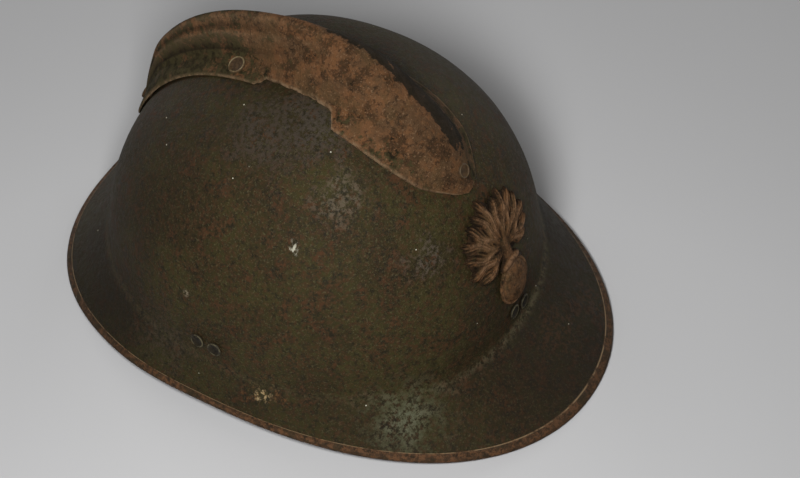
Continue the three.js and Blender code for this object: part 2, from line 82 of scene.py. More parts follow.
# Crest
CREST_SHEET = 1.0 * MM
CREST_FRONT_ANGLE = 48
CREST_REAR_ANGLE = 157
CREST_HALF_WIDTH = 25.6 * MM
CREST_HEIGHT = 29.8 * MM
RIB_START_ANGLE = 82
RIB_FULL_ANGLE = 106
RIB_LEVEL_SHARE = 0.9
RIB_LEAST_POWER = 0.5
BITE_DEPTH = 4.8 * MM
BITE_FRONT_ANGLE = 81.2
BITE_REAR_ANGLE = 103

# Badge
BALL_RADIUS = 12.2 * MM
BALL_HEIGHT = 57.6 * MM
BALL_RELIEF = 4.4 * MM
FLAME_ROOT_HEIGHT = 79 * MM
FLAME_REACH = 28.4 * MM
FLAME_RELIEF = 3.1 * MM
STRAND_WIDTH = 1.65 * MM
STRAND_WAVE = 1.15 * MM
COLLAR_HALF_WIDTH = 8 * MM
COLLAR_WIDTH = 4.4 * MM
COLLAR_RELIEF = 3.5 * MM

# Rivets
BASE_HEAD = 3.9 * MM
BASE_RIM = 0.75 * MM
BASE_DISH = 0.2 * MM
CREST_END_HEAD = 3.6 * MM
CREST_SIDE_HEAD = 4.6 * MM
CREST_RIM = 0.9 * MM
CREST_DISH = 0.4 * MM
CREST_SINK = 0.5 * MM
SHANK = 1.7 * MM
BUCKED_HEAD = 3.2 * MM
BUCKED_THICKNESS = 0.9 * MM
PAIR_SPACING = 10 * MM
SIDE_SETBACK = 4.85 * MM
BASE_RISE = 4.1 * MM
FRONT_RISE = 3 * MM
FRONT_SHIFT = 1.9 * MM
FRONT_DROP = 1.3 * MM
SEAT_GAP = 0.3 * MM
BUCKED_GAP = 0.6 * MM

# Crest from its front tip to its rear tip: share of the way, half-width share and height share
CREST_STATIONS = [
    (0, 0.104, 0),
    (0.015, 0.31, 0.041),
    (0.035, 0.476, 0.103),
    (0.06, 0.662, 0.165),
    (0.092, 0.844, 0.28),
    (0.133, 0.932, 0.4),
    (0.174, 0.988, 0.505),
    (0.216, 1, 0.63),
    (0.252, 0.988, 0.775),
    (0.294, 0.963, 0.895),
    (0.335, 0.9, 0.96),
    (0.381, 0.828, 0.992),
    (0.427, 0.766, 1),
    (0.468, 0.704, 0.966),
    (0.509, 0.67, 0.93),
    (0.555, 0.637, 0.884),
    (0.6, 0.607, 0.827),
    (0.647, 0.573, 0.76),
    (0.693, 0.545, 0.684),
    (0.739, 0.526, 0.6),
    (0.784, 0.521, 0.506),
    (0.835, 0.523, 0.341),
    (0.885, 0.518, 0.2),
    (0.931, 0.461, 0.093),
    (0.968, 0.342, 0.046),
    (1, 0.12, 0),
]

# Half of the crest's section: half-width share, then the height share of the ribbed form behind
# and of the smooth form in front
CREST_SECTION = [
    (0, 1, 1),
    (0.06, 0.99, 0.996),
    (0.11, 0.955, 0.988),
    (0.15, 0.9, 0.975),
    (0.185, 0.81, 0.96),
    (0.21, 0.71, 0.95),
    (0.23, 0.645, 0.94),
    (0.25, 0.61, 0.928),
    (0.27, 0.54, 0.915),
    (0.29, 0.39, 0.902),
    (0.31, 0.29, 0.885),
    (0.335, 0.25, 0.862),
    (0.36, 0.235, 0.838),
    (0.385, 0.2, 0.81),
    (0.415, 0.14, 0.775),
    (0.45, 0.115, 0.735),
    (0.52, 0.1, 0.63),
    (0.6, 0.088, 0.48),
    (0.68, 0.075, 0.33),
    (0.75, 0.062, 0.215),
    (0.82, 0.05, 0.13),
    (0.88, 0.035, 0.07),
    (0.94, 0.018, 0.028),
    (1, 0, 0),
]

# Missing stretch of the right flange: share along it and share of its depth
BITE_OUTLINE = [
    (0, 0),
    (0.03, 0.45),
    (0.055, 0.7),
    (0.08, 0.96),
    (0.14, 1),
    (0.22, 0.94),
    (0.31, 0.97),
    (0.42, 0.86),
    (0.53, 0.88),
    (0.62, 0.79),
    (0.7, 0.82),
    (0.8, 0.74),
    (0.87, 0.78),
    (0.9, 0.6),
    (0.94, 0.3),
    (0.97, 0.2),
    (1, 0),
]

# Flame locks: turn from upright in degrees, length share and sideways sway share
FLAME_LOCKS = [
    (-106, 0.82, -0.5),
    (-89, 0.93, 0.5),
    (-72, 0.96, -0.4),
    (-55, 1, 0.5),
    (-39, 0.93, -0.5),
    (-23, 0.9, 0.4),
    (-7, 0.955, 0.6),
    (14, 0.83, -0.4),
    (30, 0.9, 0.4),
    (46, 0.92, -0.5),
    (62, 0.91, 0.5),
    (78, 0.92, -0.5),
    (93, 0.84, 0.5),
    (106, 0.68, 0.4),
]

# Strand form from root to tip: share of its length, width share and relief share
STRAND_FORM = [
    (0.1, 0.6, 0.6),
    (0.3, 0.8, 0.85),
    (0.5, 0.95, 1),
    (0.7, 1.05, 1),
    (0.86, 1, 0.92),
    (0.95, 0.8, 0.75),
    (1, 0.35, 0.4),
]

# View of the photograph: turn round the helmet, height, tilt, distance and the point looked at
VIEW_TURN = math.radians(-60.06)
VIEW_RISE = math.radians(49.74)
VIEW_ROLL = math.radians(-0.37)
VIEW_DISTANCE = 1174.2 * MM
VIEW_TARGET = Vector((3.65, -32.58, 46.18)) * MM
VIEW_LENS = 106.3
SENSOR_WIDTH = 36.0


# Shape helpers

SLOPE_STEP = 0.05 * MM
HALVINGS = 34


def turns_round(sides):
    return [2 * math.pi * side / sides for side in range(sides)]


def mix(a, b, share):
    return a + (b - a) * share


def smooth(start, end, value):
    share = min(1.0, max(0.0, (value - start) / (end - start)))
    return share * share * (3 - 2 * share)


def band(value, middle, half):
    """1 at the middle of a band, falling to 0 at its edges."""
    return max(0.0, 1 - abs(value - middle) / half)


def signed_power(value, power):
    return math.copysign(abs(value) ** power, value)


def along_table(table, share, column):
    """Value of a column at a share, on a smooth curve through the rows that never overshoots."""
    last = len(table) - 2
    row = min(last, max(0, sum(1 for entry in table if entry[0] <= share) - 1))
    places = [entry[0] for entry in table]
    values = [entry[column] for entry in table]
    step = places[row + 1] - places[row]
    rise = (values[row + 1] - values[row]) / step

    def slope(index):
        if index == 0 or index == len(table) - 1:
            return rise
        before = (values[index] - values[index - 1]) / (places[index] - places[index - 1])
        after = (values[index + 1] - values[index]) / (places[index + 1] - places[index])
        if before * after <= 0:
            return 0.0
        return 2 * before * after / (before + after)

    t = (share - places[row]) / step
    return (
        values[row] * (2 * t ** 3 - 3 * t ** 2 + 1)
        + slope(row) * step * (t ** 3 - 2 * t ** 2 + t)
        + values[row + 1] * (3 * t ** 2 - 2 * t ** 3)
        + slope(row + 1) * step * (t ** 3 - t ** 2)
    )


def leaving_distance(inside, reach):
    """Distance along a line at which it leaves a form, found by halving the reach."""
    near, far = 0.0, reach
    for _ in range(HALVINGS):
        middle = (near + far) / 2
        if inside(middle):
            near = middle
        else:
            far = middle
    return near


def skull_level(point):
    """Below 0 inside the skull's outer form, 0 on it and above 0 outside."""
    length = SKULL_FRONT if point.y < SKULL_Y else SKULL_REAR
    plan = (abs(point.x) / SKULL_HALF_WIDTH) ** SKULL_PLAN_POWER
    plan += (abs(point.y - SKULL_Y) / length) ** SKULL_PLAN_POWER
    rise = max(0.0, (point.z - SKULL_BASE) / (CROWN_HEIGHT - SKULL_BASE))
    return plan ** (SKULL_RISE_POWER / SKULL_PLAN_POWER) + rise ** SKULL_RISE_POWER - 1


def skull_slope(point):
    """Change of the skull's level over a small step to either side along each axis."""
    changes = []
    for step in (Vector((SLOPE_STEP, 0, 0)), Vector((0, SLOPE_STEP, 0)), Vector((0, 0, SLOPE_STEP))):
        changes.append(skull_level(point + step) - skull_level(point - step))
    return Vector(changes)


def skull_normal(point):
    return skull_slope(point).normalized()


def on_skull(origin, direction):
    """Where a line from inside the skull meets its outer form."""
    reach = SKULL_FRONT + SKULL_REAR + CROWN_HEIGHT
    distance = leaving_distance(lambda d: skull_level(origin + direction * d) < 0, reach)
    return origin + direction * distance


def skull_point(angle, height):
    """Point of the skull's outer form at a turn round it and a height."""
    rise = max(0.0, (height - SKULL_BASE) / (CROWN_HEIGHT - SKULL_BASE))
    share = max(0.0, 1 - rise ** SKULL_RISE_POWER) ** (1 / SKULL_RISE_POWER)
    length = SKULL_FRONT if math.sin(angle) < 0 else SKULL_REAR
    return Vector((
        SKULL_HALF_WIDTH * share * signed_power(math.cos(angle), 2 / SKULL_PLAN_POWER),
        SKULL_Y + length * share * signed_power(math.sin(angle), 2 / SKULL_PLAN_POWER),
        height,
    ))


def inside_rim(x, y):
    front = y < RIM_Y
    power = RIM_FRONT_POWER if front else RIM_REAR_POWER
    length = RIM_FRONT if front else RIM_REAR
    return (abs(x) / RIM_HALF_WIDTH) ** power + (abs(y - RIM_Y) / length) ** power < 1


def rim_lift(x, y):
    """How much higher the rim lies at the sides than in front and at the back."""
    power = RIM_FRONT_POWER if y < RIM_Y else RIM_REAR_POWER
    sideways = min(1.0, (abs(x) / RIM_HALF_WIDTH) ** (power / 2))
    share = max(0.0, (sideways - RIM_FLAT_SHARE) / (1 - RIM_FLAT_SHARE))
    return RIM_SIDE_LIFT * share ** RIM_LIFT_POWER


def crease_height(angle):
    middle = CREASE_FRONT if math.sin(angle) < 0 else CREASE_REAR
    return mix(middle, CREASE_SIDE, math.cos(angle) ** 2)


# Modelling helpers

START_RADIUS = 10 * MM


def deselect_all():
    bpy.ops.object.select_all(action="DESELECT")


def select_only(*objects):
    deselect_all()
    for piece in objects:
        piece.select_set(True)
    bpy.context.view_layer.objects.active = objects[0]


def move_selected(piece, points):
    """Put the selected loop's vertices on their places, in the order they were made."""
    shape = bmesh.from_edit_mesh(piece.data)
    shape.verts.ensure_lookup_table()
    loop = list(shape.verts)[-len(points):]
    for vertex, point in zip(loop, points):
        vertex.co = point
    bmesh.update_edit_mesh(piece.data, loop_triangles=False, destructive=False)


def close_loop(piece, tip):
    """Close the selected loop with a cap, or with a fan round a tip."""
    if tip is None:
        bpy.ops.mesh.fill()
        return
    bpy.ops.mesh.extrude_region_move()
    bpy.ops.mesh.merge(type="CENTER")
    shape = bmesh.from_edit_mesh(piece.data)
    for vertex in shape.verts:
        if vertex.select:
            vertex.co = tip
    bmesh.update_edit_mesh(piece.data)


def select_first(piece, count):
    bpy.ops.mesh.select_all(action="DESELECT")
    shape = bmesh.from_edit_mesh(piece.data)
    shape.verts.ensure_lookup_table()
    for index in range(count):
        shape.verts[index].select_set(True)
    shape.select_mode = {"VERT"}
    shape.select_flush(True)
    bmesh.update_edit_mesh(piece.data)


def extruded_through(name, loops, first_tip=None, last_tip=None):
    """A closed piece extruded from a circle through loops of points, capped or drawn to tips."""
    deselect_all()
    bpy.ops.mesh.primitive_circle_add(vertices=len(loops[0]), radius=START_RADIUS)
    piece = bpy.context.object
    piece.name = name
    bpy.ops.object.mode_set(mode="EDIT")
    bpy.ops.mesh.select_mode(type="VERT")
    bpy.ops.mesh.select_all(action="SELECT")
    move_selected(piece, loops[0])
    for loop in loops[1:]:
        bpy.ops.mesh.extrude_region_move()
        move_selected(piece, loop)
    close_loop(piece, last_tip)
    select_first(piece, len(loops[0]))
    close_loop(piece, first_tip)
    bpy.ops.mesh.select_all(action="SELECT")
    bpy.ops.mesh.normals_make_consistent(inside=False)
    bpy.ops.object.mode_set(mode="OBJECT")
    return piece


def apply_modifier(piece, kind, **settings):
    select_only(piece)
    modifier = piece.modifiers.new(kind.title(), kind)
    for key, value in settings.items():
        setattr(modifier, key, value)
    bpy.ops.object.modifier_apply(modifier=modifier.name)


def shade(piece, angle):
    select_only(piece)
    bpy.ops.object.shade_smooth_by_angle(angle=math.radians(angle))


def paint_weight(piece, name, value_at):
    """Store a value for each vertex, for a finish to read."""
    layer = piece.data.attributes.new(name, "FLOAT", "POINT")
    for vertex in piece.data.vertices:
        layer.data[vertex.index].value = value_at(vertex)


def finish_piece(piece, node, finish):
    piece.data.materials.clear()
    piece.data.materials.append(finish)
    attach(piece, "root")
    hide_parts(node)


# Shell

COLUMNS = 184
CROWN_RINGS = 44
CREASE_STEPS = 9
BRIM_STEPS = 14
BEAD_STEPS = 7
OUTER_RINGS = CROWN_RINGS + CREASE_STEPS + BRIM_STEPS + 1
BEAD_RINGS = 2 * (BEAD_STEPS + 1)

# Bends of the rim in use: turn from the front in degrees, millimetres outwards
RIM_BENDS = [
    (-180, 0),
    (-135, 0),
    (-114, 0.8),
    (-90, 0),
    (-57, 0.7),
    (-12, 1.1),
    (20, -0.4),
    (48, -1.5),
    (75, -0.3),
    (110, 0.4),
    (150, 0),
    (180, 0),
]

# Waves and dents of the sheet in use, with how many there are to a metre
SHEET_SINK = 0.35 * MM
WAVE_DEPTH = 0.3 * MM
WAVES = 28
DENT_DEPTH = 0.06 * MM
DENTS = 90
DENT_SHIFT = Vector((7, 3, 1))
WAVE_FADE_RINGS = 8


def rim_bend(x, y):
    turn = math.degrees(math.atan2(x, RIM_Y - y))
    return along_table(RIM_BENDS, turn, 1) * MM


def shell_column(angle):
    """Outer points of one column from crown to brim, then round the rolled bead."""
    crease = crease_height(angle)
    top = crease + CREASE_REACH
    top_rise = (top - SKULL_BASE) / (CROWN_HEIGHT - SKULL_BASE)
    last_tilt = math.acos(top_rise ** (SKULL_RISE_POWER / 2))
    points = []
    for ring in range(1, CROWN_RINGS + 1):
        rise = math.cos(last_tilt * ring / CROWN_RINGS) ** (2 / SKULL_RISE_POWER)
        points.append(skull_point(angle, mix(SKULL_BASE, CROWN_HEIGHT, rise)))

    corner = skull_point(angle, crease)
    wall_top = skull_point(angle, top)
    outward = skull_normal(skull_point(angle, SKULL_BASE))
    outward.z = 0
    outward.normalize()
    width = leaving_distance(
        lambda d: inside_rim(corner.x + outward.x * d, corner.y + outward.y * d),
        RIM_FRONT,
    )
    rim = corner + outward * width
    width += rim_bend(rim.x, rim.y)
    lift = rim_lift(rim.x, rim.y) + BEAD_RADIUS * math.sin(BEAD_FOOT)
    centre = Vector((corner.x, corner.y, lift)) + outward * (width - BEAD_RADIUS)
    slope = math.atan2(crease - lift, width - BEAD_RADIUS)

    def bead_point(turn):
        out = outward * (BEAD_RADIUS * math.cos(turn))
        return centre + out + Vector((0, 0, BEAD_RADIUS * math.sin(turn)))

    back = math.pi - slope
    outer_joint = back - math.asin(1 - BEAD_STEP / BEAD_RADIUS)
    inner_joint = back - math.asin(1 - (BEAD_STEP + SHEET) / BEAD_RADIUS)
    brim_end = bead_point(outer_joint)
    crease_end = corner + (brim_end - corner).normalized() * CREASE_REACH
    for step in range(1, CREASE_STEPS + 1):
        share = step / CREASE_STEPS
        upper = wall_top.lerp(corner, share)
        points.append(upper.lerp(corner.lerp(crease_end, share), share))
    for step in range(1, BRIM_STEPS):
        share = step / BRIM_STEPS
        hollow = BRIM_HOLLOW * 4 * share * (1 - share) * math.cos(slope)
        points.append(crease_end.lerp(brim_end, share) - Vector((0, 0, hollow)))
    inwards = (points[-1] - brim_end).normalized()
    points.append(brim_end + inwards * HEM_REACH)
    points.append(brim_end + inwards * HEM_REACH * HEM_LINE_SHARE)
    bead = []
    for start, end in ((outer_joint, -BEAD_FOOT), (math.pi + BEAD_FOOT, inner_joint)):
        for step in range(BEAD_STEPS + 1):
            bead.append(bead_point(mix(start, end, step / BEAD_STEPS)))
    return points, bead


def wobble(point, normal):
    """Slight dents and waves of a hand-worn pressing, never outwards past the solid."""
    coarse = noise.noise(point * WAVES)
    fine = noise.noise(point * DENTS + DENT_SHIFT)
    return point - normal * (SHEET_SINK + WAVE_DEPTH * coarse + DENT_DEPTH * fine)


def make_shell():
    grid = [shell_column(turn) for turn in turns_round(COLUMNS)]
    rings = OUTER_RINGS
    crown = Vector((0, SKULL_Y, CROWN_HEIGHT))
    outer, inner = [], []
    for ring in range(rings):
        outer_loop, inner_loop = [], []
        for column in range(COLUMNS):
            points, bead = grid[column]
            above = points[ring - 1] if ring else crown
            below = points[ring + 1] if ring + 1 < rings else bead[0]
            left = grid[column - 1][0][ring]
            right = grid[(column + 1) % COLUMNS][0][ring]
            normal = (below - above).cross(right - left).normalized()
            fade = smooth(rings, rings - WAVE_FADE_RINGS, ring)
            settled = points[ring].lerp(wobble(points[ring], normal), fade)
            outer_loop.append(settled)
            inner_loop.append(settled - normal * SHEET)
        outer.append(outer_loop)
        inner.append(inner_loop)
    bead_loops = [[column[1][step] for column in grid] for step in range(len(grid[0][1]))]
    loops = outer + bead_loops + inner[::-1]
    top = crown - Vector((0, 0, SHEET_SINK))
    shell = extruded_through("helmet_shell", loops, top, top - Vector((0, 0, SHEET)))
    paint_weight(shell, "grime_and_shade", grime_and_shade_weight)
    paint_weight(shell, "hem", hem_weight)
    paint_weight(shell, "hem_line", lambda vertex: float(vertex.index // COLUMNS == rings - 2))
    paint_weight(shell, "crease_wear_and_highlight", crease_wear_and_highlight_weight)
    shade(shell, 50)
    return shell


def turn_from_front(place):
    """Turn round the skull in degrees, 0 in front and 90 on the wearer's left."""
    return math.degrees(math.atan2(place.x, SKULL_Y - place.y))


def grime_and_shade_weight(vertex):
    """Darker paint: a little grime over the whole brim, and painted shade, most on the brim's front left
    and rear right, fainter on the skull's left side and rear right.
    """
    ring = vertex.index // COLUMNS
    turn = turn_from_front(vertex.co)
    brim = smooth(CROWN_RINGS, CROWN_RINGS + CREASE_STEPS, ring)
    front_left = smooth(-35, 10, turn) * smooth(130, 80, turn)
    rear_right = smooth(-105, -130, turn) * smooth(-178, -148, turn)
    skull = 0.35 * max(rear_right, smooth(20, 60, turn))
    return max(skull, brim * mix(0.2, 0.95, max(front_left, rear_right)))


def hem_weight(vertex):
    """1 on the rolled bead and on the hem beside it."""
    ring = vertex.index // COLUMNS
    return float(OUTER_RINGS - 2 <= ring < OUTER_RINGS + BEAD_RINGS)


def crease_wear_and_highlight_weight(vertex):
    """Worn paint and a painted highlight along the crease: highest along its middle, most in front on the
    wearer's left.
    """
    ring = vertex.index // COLUMNS
    near = band(ring, CROWN_RINGS + CREASE_STEPS / 2, 3)
    turn = turn_from_front(vertex.co)
    return near * mix(0.35, 1.3, smooth(-40, 5, turn) * smooth(70, 30, turn))


# Crest

CREST_LOOPS = 210
BITE_END_STEP = 0.1
RAGGED_DEPTH = 0.35 * MM
RAGGED_SCALE = 1.7

# Marks along the ribs, a painted highlight on their backs and painted shade in their hollows: half-width
# share of the middle, half of the width, and strength
RIB_HIGHLIGHTS = [(0.255, 0.05, 0.5), (0.12, 0.08, 0.5)]
RIB_HOLLOW_SHADES = [(0.33, 0.05, 1), (0.2, 0.03, 0.6)]


def crest_angle(share):
    return mix(CREST_FRONT_ANGLE, CREST_REAR_ANGLE, share)


def over_skull(angle, across, lift):
    """Point at an angle along the crest, off the middle line and lifted off the skull."""
    turn = math.radians(angle)
    ray = Vector((0, -math.cos(turn), math.sin(turn)))
    return on_skull(Vector((across, SKULL_Y, SKULL_BASE)), ray) + ray * lift


def section_height(angle, out_share, height):
    """Height share of the section, smooth in front and ribbed behind, flatter where it is low."""
    power = max(RIB_LEAST_POWER, height / (RIB_LEVEL_SHARE * CREST_HEIGHT))
    ribbed = max(0.0, along_table(CREST_SECTION, out_share, 1)) ** power
    plain = along_table(CREST_SECTION, out_share, 2)
    return mix(plain, ribbed, smooth(RIB_START_ANGLE, RIB_FULL_ANGLE, angle))


def crest_outside(angle, out_share):
    share = (angle - CREST_FRONT_ANGLE) / (CREST_REAR_ANGLE - CREST_FRONT_ANGLE)
    half_width = CREST_HALF_WIDTH * along_table(CREST_STATIONS, share, 1)
    height = CREST_HEIGHT * along_table(CREST_STATIONS, share, 2)
    lift = SEAT_GAP + CREST_SHEET + height * section_height(angle, abs(out_share), height)
    return half_width * out_share, lift


def bite_share(angle):
    """How much of the right flange is gone at an angle, as a share of the half-width."""
    if not BITE_FRONT_ANGLE < angle < BITE_REAR_ANGLE:
        return 0.0
    along = (angle - BITE_FRONT_ANGLE) / (BITE_REAR_ANGLE - BITE_FRONT_ANGLE)
    share = (angle - CREST_FRONT_ANGLE) / (CREST_REAR_ANGLE - CREST_FRONT_ANGLE)
    half_width = CREST_HALF_WIDTH * along_table(CREST_STATIONS, share, 1)
    ragged = RAGGED_DEPTH * noise.noise(Vector((angle * RAGGED_SCALE, 2.0, 5.0)))
    return (BITE_DEPTH * along_table(BITE_OUTLINE, along, 1) + ragged) / half_width


def crest_shares():
    """Shares of the half-width from the right edge to the left one."""
    shares = []
    for row in range(len(CREST_SECTION) - 1):
        start, end = CREST_SECTION[row][0], CREST_SECTION[row + 1][0]
        shares += [start, (start + end) / 2]
    shares.append(1.0)
    return [-share for share in reversed(shares[1:])] + shares


def crest_loop(angle):
    kept = 1 - max(0.0, bite_share(angle))
    signed = [share * kept if share < 0 else share for share in crest_shares()]
    outside = [Vector(crest_outside(angle, share)) for share in signed]
    inside = []
    for index, point in enumerate(outside):
        before = outside[max(0, index - 1)]
        after = outside[min(len(outside) - 1, index + 1)]
        run = (after - before).normalized()
        edge = index in (0, len(outside) - 1)
        across = point.x if edge else point.x + run.y * CREST_SHEET
        inside.append(Vector((across, max(SEAT_GAP, point.y - run.x * CREST_SHEET))))
    if kept < 1:
        inside[0].y = max(SEAT_GAP, outside[0].y - CREST_SHEET)
    return [over_skull(angle, point.x, point.y) for point in outside + inside[::-1]]


def crest_stations():
    """Even stations, with extra ones where the missing stretch starts and ends."""
    shares = {step / CREST_LOOPS for step in range(CREST_LOOPS + 1)}
    for angle, reach in ((BITE_FRONT_ANGLE, 1), (BITE_REAR_ANGLE, -1)):
        for step in range(-2, 12):
            near = angle + reach * step * BITE_END_STEP
            shares.add((near - CREST_FRONT_ANGLE) / (CREST_REAR_ANGLE - CREST_FRONT_ANGLE))
    return sorted(shares)


def make_crest():
    stations = crest_stations()
    loops = [crest_loop(crest_angle(share)) for share in stations]
    crest = extruded_through("helmet_crest", loops)
    around = len(loops[0])
    shares = crest_shares()

    def place_on_crest(vertex):
        """Angle along the crest, half-width share, share of the way to the edge, and which face."""
        along, slot = divmod(vertex.index, around)
        angle = crest_angle(stations[min(along, len(stations) - 1)])
        outside = slot < around // 2
        to_edge = shares[slot if outside else around - 1 - slot]
        kept = 1 - max(0.0, bite_share(angle)) if to_edge < 0 else 1
        return angle, to_edge * kept, abs(to_edge), outside

    def rib_mark(out, marks):
        return max(band(abs(out), middle, half) * strength for middle, half, strength in marks)

    # Lighter flange edge, and a painted highlight along the rib backs
    def edge_and_rib_highlight_weight(vertex):
        angle, out, to_edge, outside = place_on_crest(vertex)
        ribbed = smooth(RIB_START_ANGLE, RIB_FULL_ANGLE + 8, angle) * float(outside)
        return max(smooth(0.95, 1, to_edge), ribbed * rib_mark(out, RIB_HIGHLIGHTS))

    # Painted shade in the hollows below the ribs
    def rib_hollow_shade_weight(vertex):
        angle, out, _, outside = place_on_crest(vertex)
        ribbed = smooth(RIB_START_ANGLE + 4, RIB_FULL_ANGLE + 14, angle) * float(outside)
        return ribbed * rib_mark(out, RIB_HOLLOW_SHADES)

    def paint_left(vertex):
        """Old paint on the rear half, on the left slope and along the right edge in front."""
        angle, out, _, _ = place_on_crest(vertex)
        low = smooth(0.1, 0.35, abs(out)) if out < 0 else 1.0
        left_slope = 0.62 * smooth(0.25, 0.5, out) * smooth(112, 88, angle)
        right_edge = 0.5 * smooth(-0.62, -0.88, out) * smooth(50, 66, angle) * smooth(86, 76, angle)
        return max(left_slope, right_edge, smooth(86, 124, angle) * mix(0.45, 0.92, low))

    def dark_left(vertex):
        """Blackened paint on the left slope of the front half."""
        angle, out, _, _ = place_on_crest(vertex)
        slope = smooth(-0.05, 0.12, out) * smooth(0.85, 0.5, out)
        return slope * smooth(52, 60, angle) * smooth(104, 84, angle)

    paint_weight(crest, "edge", edge_and_rib_highlight_weight)
    paint_weight(crest, "hollow", rib_hollow_shade_weight)
    paint_weight(crest, "old_paint", paint_left)
    paint_weight(crest, "dark_paint", dark_left)
    shade(crest, 45)
    return crest


# Badge

STRANDS = (-1, -0.5, 0, 0.5, 1)
STRAND_STEPS = 18
STRAND_HALF_WAVES = 3.1
STRAND_FAN = 7.5
BACK_POWER = 0.8
BALL_SIDES = 72
BALL_STEPS = 12
BALL_RIM_WIDTH = 1.7 * MM
BALL_FIELD_EDGE = 1.0 * MM
PLATE_TURN = 128
PLATE_SIDES = 120
PLATE_SCALLOPS = 9
PLATE_SCALLOP_SHARE = 0.05
PLATE_RELIEF = 1.3 * MM
NECK_WIDTH = 11 * MM
BADGE_GRAIN = 0.28 * MM
BADGE_PAINT_LEFT = 0.15

# Rim of the ball: millimetres in from its edge and of relief
BALL_RIM = [(1.3, 1.6), (0.7, 1.7), (0.2, 1.4), (0, 0.8)]

# Plate under the strands: share of their length, and relief in millimetres
PLATE_FORM = [(0.3, 1.3), (0.6, 1.3), (0.88, 1.2), (0.92, 0.9), (0.92, 0), (0.6, 0), (0.3, 0)]


def on_front(across, height, relief):
    """Point over the front of the skull, off the middle line and raised by the relief."""
    foot = on_skull(Vector((across, SKULL_Y, height)), Vector((0, -1, 0)))
    return foot + skull_normal(foot) * (SEAT_GAP + relief)


def ridge(name, stations, turn, steps):
    """A low round-backed ridge on the front of the skull."""
    side = (math.cos(turn), -math.sin(turn))
    loops = []
    for across, height, width, relief in stations:
        loop = []
        for step in range(steps + 1):
            out = step / steps - 0.5
            lift = relief * math.sqrt(max(0.0, 1 - (2 * out) ** 2)) ** BACK_POWER
            loop.append(on_front(across + side[0] * out * width, height + side[1] * out * width, lift))
        for out in (0.25, 0, -0.25):
            loop.append(on_front(across + side[0] * out * width, height + side[1] * out * width, 0))
        loops.append(loop)
    return extruded_through(name, loops)


def flame_strand(turn_degrees, length_share, sway, place_in_lock):
    """One wavy strand of a lock, its place in the lock from -1 to 1."""
    turn = math.radians(turn_degrees + place_in_lock * STRAND_FAN)
    reach = FLAME_REACH * length_share * (1 - 0.13 * place_in_lock ** 2 - 0.05 * sway * place_in_lock)
    phase = sway * 3 + place_in_lock * 0.5
    stations = []
    for step in range(STRAND_STEPS + 1):
        share = mix(STRAND_FORM[0][0], 1, step / STRAND_STEPS)
        away = reach * share
        wave = math.sin(share * STRAND_HALF_WAVES * math.pi + phase)
        aside = STRAND_WAVE * wave * smooth(0.1, 0.5, share)
        aside += sway * STRAND_WIDTH * 0.9 * smooth(0.6, 1, share)
        stations.append((
            math.sin(turn) * away + math.cos(turn) * aside,
            FLAME_ROOT_HEIGHT + math.cos(turn) * away - math.sin(turn) * aside,
            STRAND_WIDTH * along_table(STRAND_FORM, share, 1),
            FLAME_RELIEF * along_table(STRAND_FORM, share, 2) * (1 - 0.22 * abs(place_in_lock)),
        ))
    return ridge("strand", stations, turn, 8)


def make_ball():
    """The round ball: a domed field inside a low rim, flat at the back."""
    field = BALL_RADIUS - BALL_RIM_WIDTH
    profile = []
    for step in range(1, BALL_STEPS + 1):
        share = step / BALL_STEPS
        profile.append((field * share, mix(BALL_FIELD_EDGE, BALL_RELIEF, math.sqrt(1 - share ** 2))))
    profile += [(BALL_RADIUS - inwards * MM, relief * MM) for inwards, relief in BALL_RIM]
    profile += [(BALL_RADIUS * share, 0) for share in (1, 0.7, 0.35)]
    loops = []
    for radius, relief in profile:
        loops.append([
            on_front(radius * math.cos(turn), BALL_HEIGHT + radius * math.sin(turn), relief)
            for turn in turns_round(BALL_SIDES)
        ])
    top = on_front(0, BALL_HEIGHT, max(relief for radius, relief in profile) + 0.02 * MM)
    return extruded_through("ball", loops, top, on_front(0, BALL_HEIGHT, 0))


def make_plate():
    """The sheet that the strands stand on, its outline a little short of their tips."""
    places = [(-PLATE_TURN, 0.3)] + FLAME_LOCKS + [(PLATE_TURN, 0.3)]
    loops = []
    for share, relief in PLATE_FORM:
        loop = []
        for step in range(PLATE_SIDES):
            degrees = mix(-PLATE_TURN, PLATE_TURN, step / PLATE_SIDES)
            turn = math.radians(degrees)
            away = FLAME_REACH * share * along_table(places, degrees, 1)
            away *= 1 - PLATE_SCALLOP_SHARE * abs(math.sin(turn * PLATE_SCALLOPS))
            loop.append(on_front(
                math.sin(turn) * away,
                FLAME_ROOT_HEIGHT + math.cos(turn) * away,
                relief * MM,
            ))
        loops.append(loop)
    root = on_front(0, FLAME_ROOT_HEIGHT, PLATE_RELIEF)
    return extruded_through("plate", loops, root, on_front(0, FLAME_ROOT_HEIGHT, 0))


def make_collar():
    """The curved band across the foot of the flames."""
    middle = BALL_HEIGHT + BALL_RADIUS + COLLAR_WIDTH / 4
    stations = []
    for step in range(13):
        share = mix(-1, 1, step / 12)
        stations.append((
            COLLAR_HALF_WIDTH * share,
            middle - COLLAR_WIDTH * 0.3 * share * share,
            COLLAR_WIDTH * (1 - 0.45 * share ** 4),
            COLLAR_RELIEF * (1 - 0.5 * share ** 4),
        ))
    return ridge("collar", stations, math.pi / 2, 12)


def make_neck():
    """The tapering stem between the ball and the flames."""
    stations = []
    for step in range(7):
        share = step / 6
        height = mix(BALL_HEIGHT + BALL_RADIUS * 0.7, FLAME_ROOT_HEIGHT + COLLAR_WIDTH, share)
        stations.append((0, height, NECK_WIDTH * (1 - 0.3 * share), COLLAR_RELIEF * 0.72))
    return ridge("neck", stations, 0, 12)


def badge_relief(place):
    """How far a point of the badge stands off its seat."""
    return skull_level(place) / (skull_slope(place).length / (2 * SLOPE_STEP)) - SEAT_GAP


